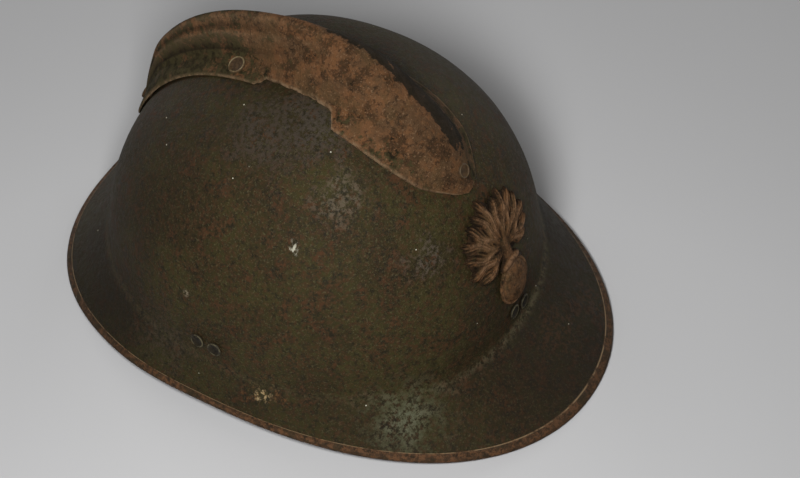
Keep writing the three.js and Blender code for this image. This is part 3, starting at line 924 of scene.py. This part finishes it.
def badge_edge(vertex):
    place = vertex.co
    if place.z > BALL_HEIGHT + BALL_RADIUS:
        return smooth(2.3 * MM, 2.95 * MM, badge_relief(place))
    return band(math.hypot(place.x, place.z - BALL_HEIGHT), BALL_RADIUS - 0.9 * MM, 0.9 * MM)


# Painted shade on the low parts between the flame strands
def badge_hollow_shade(vertex):
    flames = vertex.co.z > BALL_HEIGHT + BALL_RADIUS
    return smooth(2.5 * MM, 1.5 * MM, badge_relief(vertex.co)) if flames else 0.0


def make_badge():
    parts = [make_ball(), make_plate(), make_collar(), make_neck()]
    for lock in FLAME_LOCKS:
        parts += [flame_strand(*lock, place) for place in STRANDS]
    select_only(*parts)
    bpy.ops.object.join()
    badge = bpy.context.object
    badge.name = "front_badge"
    apply_modifier(badge, "REMESH", mode="VOXEL", voxel_size=BADGE_GRAIN)
    apply_modifier(badge, "SMOOTH", factor=0.5, iterations=1)
    paint_weight(badge, "edge", badge_edge)
    paint_weight(badge, "hollow", badge_hollow_shade)
    paint_weight(badge, "old_paint", lambda vertex: BADGE_PAINT_LEFT)
    shade(badge, 80)
    return badge


# Rivets

BASE_SIDES = 40
CREST_SIDES = 56


def turned(name, profile, place, direction, sides=BASE_SIDES):
    """A piece turned about an axis from a profile of radius and height, top first."""
    tilt = Vector((0, 0, 1)).rotation_difference(direction).to_matrix()
    loops = []
    for radius, height in profile[1:-1]:
        loops.append([
            place + tilt @ Vector((radius * math.cos(turn), radius * math.sin(turn), height))
            for turn in turns_round(sides)
        ])
    top = place + tilt @ Vector((0, 0, profile[0][1]))
    return extruded_through(name, loops, top, place + tilt @ Vector((0, 0, profile[-1][1])))


def shank_profile(grip):
    """Shank through the sheet, and the head that is bucked over inside."""
    return [
        (SHANK, -grip),
        (BUCKED_HEAD, -grip),
        (BUCKED_HEAD, -grip - BUCKED_THICKNESS * 0.6),
        (BUCKED_HEAD * 0.7, -grip - BUCKED_THICKNESS),
        (0, -grip - BUCKED_THICKNESS),
    ]


def base_rivet(name, origin, direction):
    point = on_skull(origin, direction)
    normal = skull_normal(point)
    head = [
        (0, BASE_DISH * 0.8),
        (BASE_HEAD * 0.3, BASE_DISH * 0.82),
        (BASE_HEAD * 0.58, BASE_DISH),
        (BASE_HEAD * 0.72, BASE_RIM * 0.75),
        (BASE_HEAD * 0.8, BASE_RIM * 0.97),
        (BASE_HEAD * 0.88, BASE_RIM),
        (BASE_HEAD * 0.96, BASE_RIM * 0.78),
        (BASE_HEAD, BASE_RIM * 0.4),
        (BASE_HEAD, 0),
        (SHANK, 0),
    ]
    profile = head + shank_profile(SEAT_GAP + SHEET + BUCKED_GAP)
    rivet = turned(name, profile, point + normal * SEAT_GAP * 0.5, normal)
    paint_weight(rivet, "edge", lambda vertex: float(3 <= vertex.index // BASE_SIDES <= 5))
    shade(rivet, 45)
    return rivet


def crest_place(angle, out_share):
    across, lift = crest_outside(angle, out_share)
    return over_skull(angle, across, lift)


def crest_rivet(name, angle, out_share, head_radius, worn):
    top = crest_place(angle, out_share)
    across = crest_place(angle, min(1, out_share + 0.12)) - crest_place(angle, max(-1, out_share - 0.12))
    along = crest_place(angle + 2, out_share) - crest_place(angle - 2, out_share)
    tilt = across.cross(along).normalized()
    head = [
        (0, CREST_DISH),
        (head_radius * 0.4, CREST_DISH),
        (head_radius * 0.76, CREST_DISH * 1.1),
        (head_radius * 0.83, CREST_RIM * 0.85),
        (head_radius * 0.89, CREST_RIM),
        (head_radius * 0.95, CREST_RIM * 0.85),
        (head_radius, CREST_DISH * 0.6),
        (head_radius, -CREST_SINK),
        (0, -CREST_SINK),
    ]
    cap = turned(name, head, top, tilt, CREST_SIDES)
    paint_weight(cap, "edge", lambda vertex: worn * float(2 <= vertex.index // CREST_SIDES <= 4))
    inward = -skull_normal(top)
    foot = on_skull(top + inward * CREST_HEIGHT * 2, -inward)
    depth = (top - foot).length - CREST_SINK / 2
    shank = [(0, depth), (SHANK, depth)] + shank_profile(SHEET + BUCKED_GAP)
    post = turned("post", shank, foot, skull_normal(foot))
    select_only(cap, post)
    bpy.ops.object.join()
    shade(cap, 45)
    return cap


def base_rivet_places():
    half = PAIR_SPACING / 2
    near_row = SKULL_Y + SIDE_SETBACK
    far_row = near_row + PAIR_SPACING
    front = CREASE_FRONT + CREASE_REACH + FRONT_RISE
    side = CREASE_SIDE + CREASE_REACH + BASE_RISE
    rear = CREASE_REAR + CREASE_REACH + BASE_RISE
    return {
        "base_rivet_front_right": ((FRONT_SHIFT - half, SKULL_Y, front + FRONT_DROP), (0, -1, 0)),
        "base_rivet_front_left": ((FRONT_SHIFT + half, SKULL_Y, front - FRONT_DROP), (0, -1, 0)),
        "base_rivet_rear_right": ((-half, SKULL_Y, rear), (0, 1, 0)),
        "base_rivet_rear_left": ((half, SKULL_Y, rear), (0, 1, 0)),
        "base_rivet_right_front": ((0, near_row, side), (-1, 0, 0)),
        "base_rivet_right_rear": ((0, far_row, side), (-1, 0, 0)),
        "base_rivet_left_front": ((0, near_row, side), (1, 0, 0)),
        "base_rivet_left_rear": ((0, far_row, side), (1, 0, 0)),
    }


# Crest rivets: place along the crest in degrees, half-width share, head and how worn its ring is
CREST_RIVETS = {
    "crest_rivet_front": (CREST_FRONT_ANGLE + 4.7, 0, CREST_END_HEAD, 0.55),
    "crest_rivet_rear": (CREST_REAR_ANGLE - 6.5, 0, CREST_END_HEAD, 0.55),
    "crest_rivet_right": (109, -0.64, CREST_SIDE_HEAD, 1),
    "crest_rivet_left": (109, 0.64, CREST_SIDE_HEAD, 1),
}


# Finishes

def add_node(tree, kind, inputs=None, **settings):
    made = tree.nodes.new(kind)
    for key, value in settings.items():
        setattr(made, key, value)
    for key, value in (inputs or {}).items():
        if isinstance(value, bpy.types.NodeSocket):
            tree.links.new(value, made.inputs[key])
        else:
            made.inputs[key].default_value = value
    return made


def noise_on(tree, place, scale, detail, roughness, stretch=0.0):
    made = add_node(tree, "ShaderNodeTexNoise", {
        "Vector": place,
        "Scale": scale,
        "Detail": detail,
        "Roughness": roughness,
        "Distortion": stretch,
    })
    return made.outputs["Fac"]


def spread(tree, value, low, high, bottom=0.0, top=1.0):
    made = add_node(tree, "ShaderNodeMapRange", {
        "Value": value,
        "From Min": low,
        "From Max": high,
        "To Min": bottom,
        "To Max": top,
    }, interpolation_type="SMOOTHSTEP")
    return made.outputs["Result"]


def combine(tree, operation, first, second):
    made = add_node(tree, "ShaderNodeMath", {0: first, 1: second}, operation=operation)
    return made.outputs["Value"]


def blend(tree, share, first, second):
    made = tree.nodes.new("ShaderNodeMix")
    made.data_type = "RGBA"
    for index, value in ((0, share), (6, first), (7, second)):
        if isinstance(value, bpy.types.NodeSocket):
            tree.links.new(value, made.inputs[index])
        elif isinstance(value, tuple):
            made.inputs[index].default_value = (*value, 1)
        else:
            made.inputs[index].default_value = value
    return made.outputs[2]


def near_spot(tree, place, spot, reach, ragged):
    """1 near a spot in millimetres, fading out raggedly at its reach."""
    away = add_node(tree, "ShaderNodeVectorMath", {
        0: place,
        1: tuple(value * MM for value in spot),
    }, operation="DISTANCE").outputs["Value"]
    torn = combine(tree, "MULTIPLY", spread(tree, ragged, 0.3, 0.7, 0.5, 1.5), reach * MM)
    return spread(tree, combine(tree, "DIVIDE", away, torn), 1.0, 0.25)


def weight(tree, name):
    return add_node(tree, "ShaderNodeAttribute", attribute_name=name).outputs["Fac"]


def start_finish(name):
    finish = bpy.data.materials.new(name)
    finish.use_nodes = True
    tree = finish.node_tree
    place = add_node(tree, "ShaderNodeTexCoord").outputs["Object"]
    return finish, tree, tree.nodes["Principled BSDF"], place


def end_finish(tree, shader, colour, roughness, height, depth):
    bump = add_node(tree, "ShaderNodeBump", {
        "Height": height,
        "Distance": depth * MM,
        "Strength": 1.0,
    })
    tree.links.new(colour, shader.inputs["Base Color"])
    tree.links.new(roughness, shader.inputs["Roughness"])
    tree.links.new(bump.outputs["Normal"], shader.inputs["Normal"])


def specks(tree, place, scale, size):
    """Small scattered dots: 1 in each dot, sizes in millimetres."""
    cells = add_node(tree, "ShaderNodeTexVoronoi", {"Vector": place, "Scale": scale})
    return spread(tree, cells.outputs["Distance"], size * MM * scale, size * MM * scale * 0.6)


def both(tree, first, second):
    return combine(tree, "MULTIPLY", first, second)


def ragged(tree, value, rows):
    """A weight whose edge is broken up by patterns, each with its reach."""
    for pattern, reach in rows:
        value = combine(tree, "ADD", value, spread(tree, pattern, 0.3, 0.7, -reach, reach))
    return value


def layers(tree, colour, rows):
    """Tints laid over a colour, each where its mask is high and as strong as its share."""
    for mask, share, tint in rows:
        colour = blend(tree, both(tree, mask, share), colour, tint)
    return colour


def height_of(tree, rows):
    """Height for the bump, the sum of patterns at their shares."""
    parts = [both(tree, pattern, share) for pattern, share in rows]
    height = parts[0]
    for part in parts[1:]:
        height = combine(tree, "ADD", height, part)
    return height


def tinted(colour, red, green, blue):
    return (colour[0] * red, colour[1] * green, colour[2] * blue)


def darker(colour, share):
    return tinted(colour, share, share, share)


# Colours of the paint, rust and paper, with the painted shade and painted highlight colours among them
BROWN_OLIVE = (0.026, 0.019, 0.006)
GREEN_OLIVE = (0.037, 0.031, 0.0085)
DEEP_OLIVE = (0.016, 0.011, 0.005)
PAINT_PITS = (0.01, 0.0075, 0.003)
RUST_FRECKLES = (0.056, 0.025, 0.01)
PAINT_DUST = (0.09, 0.078, 0.036)
RUST_BLOOM = (0.075, 0.03, 0.012)
# Grime and painted shade
GRIME_AND_SHADE = (0.008, 0.0055, 0.003)
HEM_RUST = (0.125, 0.058, 0.025)
HEM_BROWN = (0.055, 0.029, 0.014)
HEM_PITS = (0.02, 0.014, 0.008)
HEM_PAINT = (0.03, 0.022, 0.01)
# Grime and painted shade on the hem
HEM_GRIME_AND_SHADE = (0.02, 0.013, 0.007)
HEM_LINE = (0.27, 0.185, 0.1)
# Worn paint and painted highlight along the crease
CREASE_WEAR_AND_HIGHLIGHT = (0.13, 0.11, 0.065)
WHITE_SPECKS = (0.6, 0.57, 0.45)
RUST_DUST = (0.26, 0.16, 0.09)
BLACK_PAINT = (0.014, 0.011, 0.006)
PAPER = (0.56, 0.56, 0.565)

# Worn spots and painted highlights on the shell: place in millimetres, reach, colour, share, what breaks
# it up and how much
WORN_AND_HIGHLIGHT_SPOTS = [
    ((-71.4, -19.4, 107.8), 4.2, (0.42, 0.4, 0.31), 0.95, "streaks", 0.49),
    ((-37.1, -72.1, 99.5), 16, (0.095, 0.085, 0.066), 0.5, "mottles", 0.46),
    ((-24.4, -6.4, 141.5), 21, (0.055, 0.046, 0.036), 0.7, "mottles", 0.42),
    ((-36.0, 13.9, 138.2), 30, (0.045, 0.036, 0.026), 0.7, "mottles", 0.42),
    # Painted highlight on the skull's upper front right
    ((-46.2, -29.6, 127.0), 17, (0.15, 0.13, 0.09), 0.38, "mottles", 0.45),
    # Grey-green worn paint on the front right brim, with a painted highlight at its bright centre
    ((-75.5, -80.3, 20.9), 13, (0.25, 0.26, 0.19), 0.55, "grain", 0.46),
    ((-75.5, -80.3, 20.9), 28, (0.08, 0.082, 0.045), 0.7, "grain", 0.42),
    ((-100.9, -15.7, 27.1), 5.5, (0.55, 0.4, 0.2), 0.95, "mottles", 0.49),
    ((-100.3, -15.0, 29.0), 13, (0.25, 0.13, 0.045), 0.7, "grain", 0.54),
    ((-92.0, 30.5, 68.9), 3, (0.3, 0.26, 0.18), 0.6, "mottles", 0.5),
    ((-101.5, 41.5, 33.0), 26, (0.05, 0.043, 0.027), 0.45, "mottles", 0.44),
    ((12.8, -118.7, 16.8), 22, (0.06, 0.028, 0.012), 0.5, "mottles", 0.46),
    ((42.2, -121.0, 10.1), 18, (0.05, 0.025, 0.011), 0.5, "mottles", 0.46),
]


def shell_finish():
    """Old olive paint with rust freckles, worn spots, painted highlights, grime with painted shade, a
    rusty hem, crease wear with a painted highlight and white specks.
    """
    finish, tree, shader, place = start_finish("worn_olive_paint")
    upright = add_node(tree, "ShaderNodeMapping", {"Vector": place, "Scale": (3, 3, 1)}).outputs["Vector"]
    broad = noise_on(tree, place, 20, 5, 0.6)
    cloud = noise_on(tree, place, 100, 6, 0.7)
    grain = noise_on(tree, place, 340, 5, 0.8)
    grit = noise_on(tree, place, 950, 3, 0.7)
    mottles = noise_on(tree, place, 420, 5, 0.75)
    streaks = noise_on(tree, upright, 200, 2, 0.5)
    grime_and_shade = weight(tree, "grime_and_shade")

    paint = blend(tree, spread(tree, broad, 0.4, 0.6), BROWN_OLIVE, GREEN_OLIVE)
    paint = layers(tree, paint, [
        (spread(tree, cloud, 0.46, 0.6), 0.6, DEEP_OLIVE),
        (spread(tree, grain, 0.5, 0.4), 0.7, PAINT_PITS),
        (spread(tree, mottles, 0.49, 0.58), 0.52, RUST_FRECKLES),
        (spread(tree, grit, 0.55, 0.65), 0.5, PAINT_DUST),
        (both(tree, spread(tree, cloud, 0.5, 0.62), spread(tree, grain, 0.47, 0.56)), 0.6, RUST_BLOOM),
        # Darker paint from the grime weight: a little grime on the brim, and painted shade on the
        # wearer's front left and rear right
        (grime_and_shade, 0.7, GRIME_AND_SHADE),
    ])
    # Worn spots and painted highlights laid over the paint
    for spot, reach, colour, share, broken_by, least in WORN_AND_HIGHLIGHT_SPOTS:
        breaks = {"mottles": mottles, "grain": grain, "streaks": streaks}[broken_by]
        near = near_spot(tree, place, spot, reach, cloud)
        mask = both(tree, near, spread(tree, breaks, least, least + 0.14))
        paint = layers(tree, paint, [(mask, share, colour)])

    hem = blend(tree, spread(tree, mottles, 0.43, 0.57), HEM_RUST, HEM_BROWN)
    hem = layers(tree, hem, [
        (spread(tree, grain, 0.52, 0.58), 0.8, HEM_PITS),
        (spread(tree, cloud, 0.52, 0.6), 0.75, HEM_PAINT),
        # Darker hem from the same weight: grime and painted shade
        (grime_and_shade, 0.45, HEM_GRIME_AND_SHADE),
    ])
    eaten = ragged(tree, weight(tree, "hem"), [(grain, 0.3)])
    hem_line = spread(tree, weight(tree, "hem_line"), 0.5, 0.95)
    paint = layers(tree, paint, [
        (spread(tree, eaten, 0.45, 0.6), 0.95, hem),
        (both(tree, hem_line, spread(tree, cloud, 0.4, 0.52, 0.1, 1)), 0.7, HEM_LINE),
        # Worn paint and a painted highlight along the crease
        (both(tree, weight(tree, "crease_wear_and_highlight"), spread(tree, grain, 0.46, 0.56)), 0.4, CREASE_WEAR_AND_HIGHLIGHT),
        (specks(tree, place, 85, 0.42), 0.9, WHITE_SPECKS),
    ])
    shader.inputs["Specular IOR Level"].default_value = 0.14
    height = height_of(tree, [(grain, 0.6), (grit, 0.35), (cloud, 0.8)])
    end_finish(tree, shader, paint, spread(tree, grain, 0.3, 0.7, 0.55, 0.8), height, 0.9)
    return finish


def rust_finish(name, light, middle, dark, old_paint, edge):
    """Thick scaly rust with some old paint left where the weight is high, lighter edges, a painted
    highlight along the crest's rib backs and painted shade in the hollows.
    """
    finish, tree, shader, place = start_finish(name)
    broad = noise_on(tree, place, 45, 5, 0.6)
    cloud = noise_on(tree, place, 130, 6, 0.7)
    grain = noise_on(tree, place, 400, 5, 0.75)
    grit = noise_on(tree, place, 1000, 3, 0.7)
    scales = noise_on(tree, place, 290, 5, 0.7)
    flow = noise_on(tree, place, 75, 5, 0.65, 0.6)
    rust = layers(tree, blend(tree, spread(tree, broad, 0.42, 0.6), middle, light), [
        (spread(tree, cloud, 0.48, 0.56), 0.8, darker(middle, 0.42)),
        (spread(tree, scales, 0.5, 0.6), 0.5, tinted(light, 1.15, 1.1, 1)),
        (spread(tree, grain, 0.47, 0.37), 0.7, dark),
        (spread(tree, flow, 0.5, 0.62), 0.5, tinted(light, 0.62, 0.8, 0.8)),
        (spread(tree, grit, 0.57, 0.67), 0.42, RUST_DUST),
    ])
    kept = ragged(tree, weight(tree, "old_paint"), [(cloud, 0.4), (grain, 0.3)])
    old = blend(tree, spread(tree, scales, 0.45, 0.58), old_paint, darker(old_paint, 0.45))
    black = ragged(tree, weight(tree, "dark_paint"), [(cloud, 0.45), (scales, 0.25)])
    black = spread(tree, black, 0.5, 0.56)
    # Lighter edges; on the crest also the painted highlight along the rib backs
    worn = both(tree, weight(tree, "edge"), spread(tree, scales, 0.4, 0.6, 0.2, 1))
    colour = layers(tree, rust, [
        (spread(tree, kept, 0.38, 0.7), 0.95, old),
        (black, 0.92, BLACK_PAINT),
        # Painted shade where the hollow weight is high
        (weight(tree, "hollow"), 0.8, darker(dark, 0.6)),
        (worn, 0.8, edge),
    ])
    shader.inputs["Specular IOR Level"].default_value = 0.1
    height = height_of(tree, [(grain, 0.8), (grit, 0.4), (cloud, 1.2), (black, -0.35)])
    end_finish(tree, shader, colour, spread(tree, cloud, 0.3, 0.7, 0.7, 0.95), height, 1.1)
    return finish


def rivet_finish(name, middle, ring):
    """Dull steel with a brighter ring where the head is worn."""
    finish, tree, shader, place = start_finish(name)
    cloud = noise_on(tree, place, 320, 5, 0.7)
    grain = noise_on(tree, place, 900, 3, 0.6)
    face = blend(tree, spread(tree, cloud, 0.38, 0.62), middle, darker(middle, 0.5))
    worn = both(tree, spread(tree, weight(tree, "edge"), 0.3, 0.9), spread(tree, cloud, 0.4, 0.55))
    colour = layers(tree, face, [(worn, 0.85, ring)])
    shader.inputs["Specular IOR Level"].default_value = 0.2
    height = height_of(tree, [(cloud, 1), (grain, 1)])
    end_finish(tree, shader, colour, spread(tree, cloud, 0.3, 0.7, 0.5, 0.75), height, 0.25)
    return finish


def paper_finish():
    finish, tree, shader, place = start_finish("pale_paper")
    tone = spread(tree, noise_on(tree, place, 3, 3, 0.5), 0.3, 0.7, 0, 0.25)
    sheet = blend(tree, tone, PAPER, darker(PAPER, 0.93))
    tree.links.new(sheet, shader.inputs["Base Color"])
    shader.inputs["Roughness"].default_value = 0.9
    return finish


# Scene

FLOOR_SIZE = 14
LIGHT_AIM = Vector((0, -0.01, 0.05))
KEY_DISTANCE = 0.66
KEY_SHIFT = 0.05
ROOM_TINT = (1, 0.97, 0.93, 1)
ROOM_STRENGTH = 0.035


def make_floor():
    deselect_all()
    bpy.ops.mesh.primitive_plane_add(size=FLOOR_SIZE, location=(0, 0, 0))
    floor = bpy.context.object
    floor.name = "paper_floor"
    floor.data.materials.append(paper_finish())


def view_axes():
    back = Vector((
        math.sin(VIEW_TURN) * math.cos(VIEW_RISE),
        -math.cos(VIEW_TURN) * math.cos(VIEW_RISE),
        math.sin(VIEW_RISE),
    ))
    right = Vector((0, 0, 1)).cross(back).normalized()
    up = back.cross(right)
    turned_right = right * math.cos(VIEW_ROLL) + up * math.sin(VIEW_ROLL)
    turned_up = -right * math.sin(VIEW_ROLL) + up * math.cos(VIEW_ROLL)
    return turned_right, turned_up, back


def place_camera():
    right, up, back = view_axes()
    data = bpy.data.cameras.new("photo_view")
    data.lens = VIEW_LENS
    data.sensor_width = SENSOR_WIDTH
    data.clip_start = 0.05
    camera = bpy.data.objects.new("photo_view", data)
    bpy.context.scene.collection.objects.link(camera)
    turn = Matrix((right, up, back)).transposed().to_4x4()
    camera.matrix_world = Matrix.Translation(VIEW_TARGET + back * VIEW_DISTANCE) @ turn
    bpy.context.scene.camera = camera


def area_light(name, place, width, height, power):
    """A soft rectangular light that looks at the helmet."""
    data = bpy.data.lights.new(name, "AREA")
    data.shape = "RECTANGLE"
    data.size = width
    data.size_y = height
    data.energy = power
    lamp = bpy.data.objects.new(name, data)
    bpy.context.scene.collection.objects.link(lamp)
    away = (Vector(place) - LIGHT_AIM).normalized()
    lamp.rotation_euler = away.to_track_quat("Z", "Y").to_euler()
    lamp.location = place


def light_scene():
    right, up, back = view_axes()
    area_light("soft_key", LIGHT_AIM + back * KEY_DISTANCE - right * KEY_SHIFT, 0.15, 0.15, 4.3)
    area_light("soft_left", (2.2, -0.35, 0.6), 1.6, 0.6, 18)
    area_light("soft_rear", (0.8, 2.1, 0.6), 1.6, 0.6, 18)
    world = bpy.data.worlds.new("soft_room")
    world.use_nodes = True
    room = world.node_tree.nodes["Background"]
    room.inputs["Color"].default_value = ROOM_TINT
    room.inputs["Strength"].default_value = ROOM_STRENGTH
    bpy.context.scene.world = world
    bpy.context.scene.view_settings.view_transform = "Standard"


def main():
    shell_paint = shell_finish()
    crest_rust = rust_finish(
        "scaly_crest_rust",
        light=(0.128, 0.059, 0.025),
        middle=(0.08, 0.043, 0.02),
        dark=(0.022, 0.013, 0.007),
        old_paint=(0.045, 0.037, 0.015),
        edge=(0.22, 0.145, 0.082),
    )
    badge_rust = rust_finish(
        "badge_rust",
        light=(0.14, 0.066, 0.027),
        middle=(0.09, 0.047, 0.021),
        dark=(0.01, 0.007, 0.004),
        old_paint=(0.045, 0.034, 0.015),
        edge=(0.23, 0.128, 0.068),
    )
    crest_steel = rivet_finish("crest_rivet_rust", (0.07, 0.04, 0.018), (0.2, 0.155, 0.08))
    base_steel = rivet_finish("dark_rivet_steel", (0.018, 0.013, 0.006), (0.1, 0.085, 0.045))
    finish_piece(make_shell(), "shell", shell_paint)
    finish_piece(make_crest(), "crest", crest_rust)
    finish_piece(make_badge(), "grenade_badge", badge_rust)
    for node, (angle, out_share, head, worn) in CREST_RIVETS.items():
        rivet = crest_rivet(node + "_head", angle, out_share, head, worn)
        finish_piece(rivet, node, crest_steel)
    for node, (origin, direction) in base_rivet_places().items():
        rivet = base_rivet(node + "_head", Vector(origin), Vector(direction))
        finish_piece(rivet, node, base_steel)
    make_floor()
    place_camera()
    light_scene()
    deselect_all()


main()
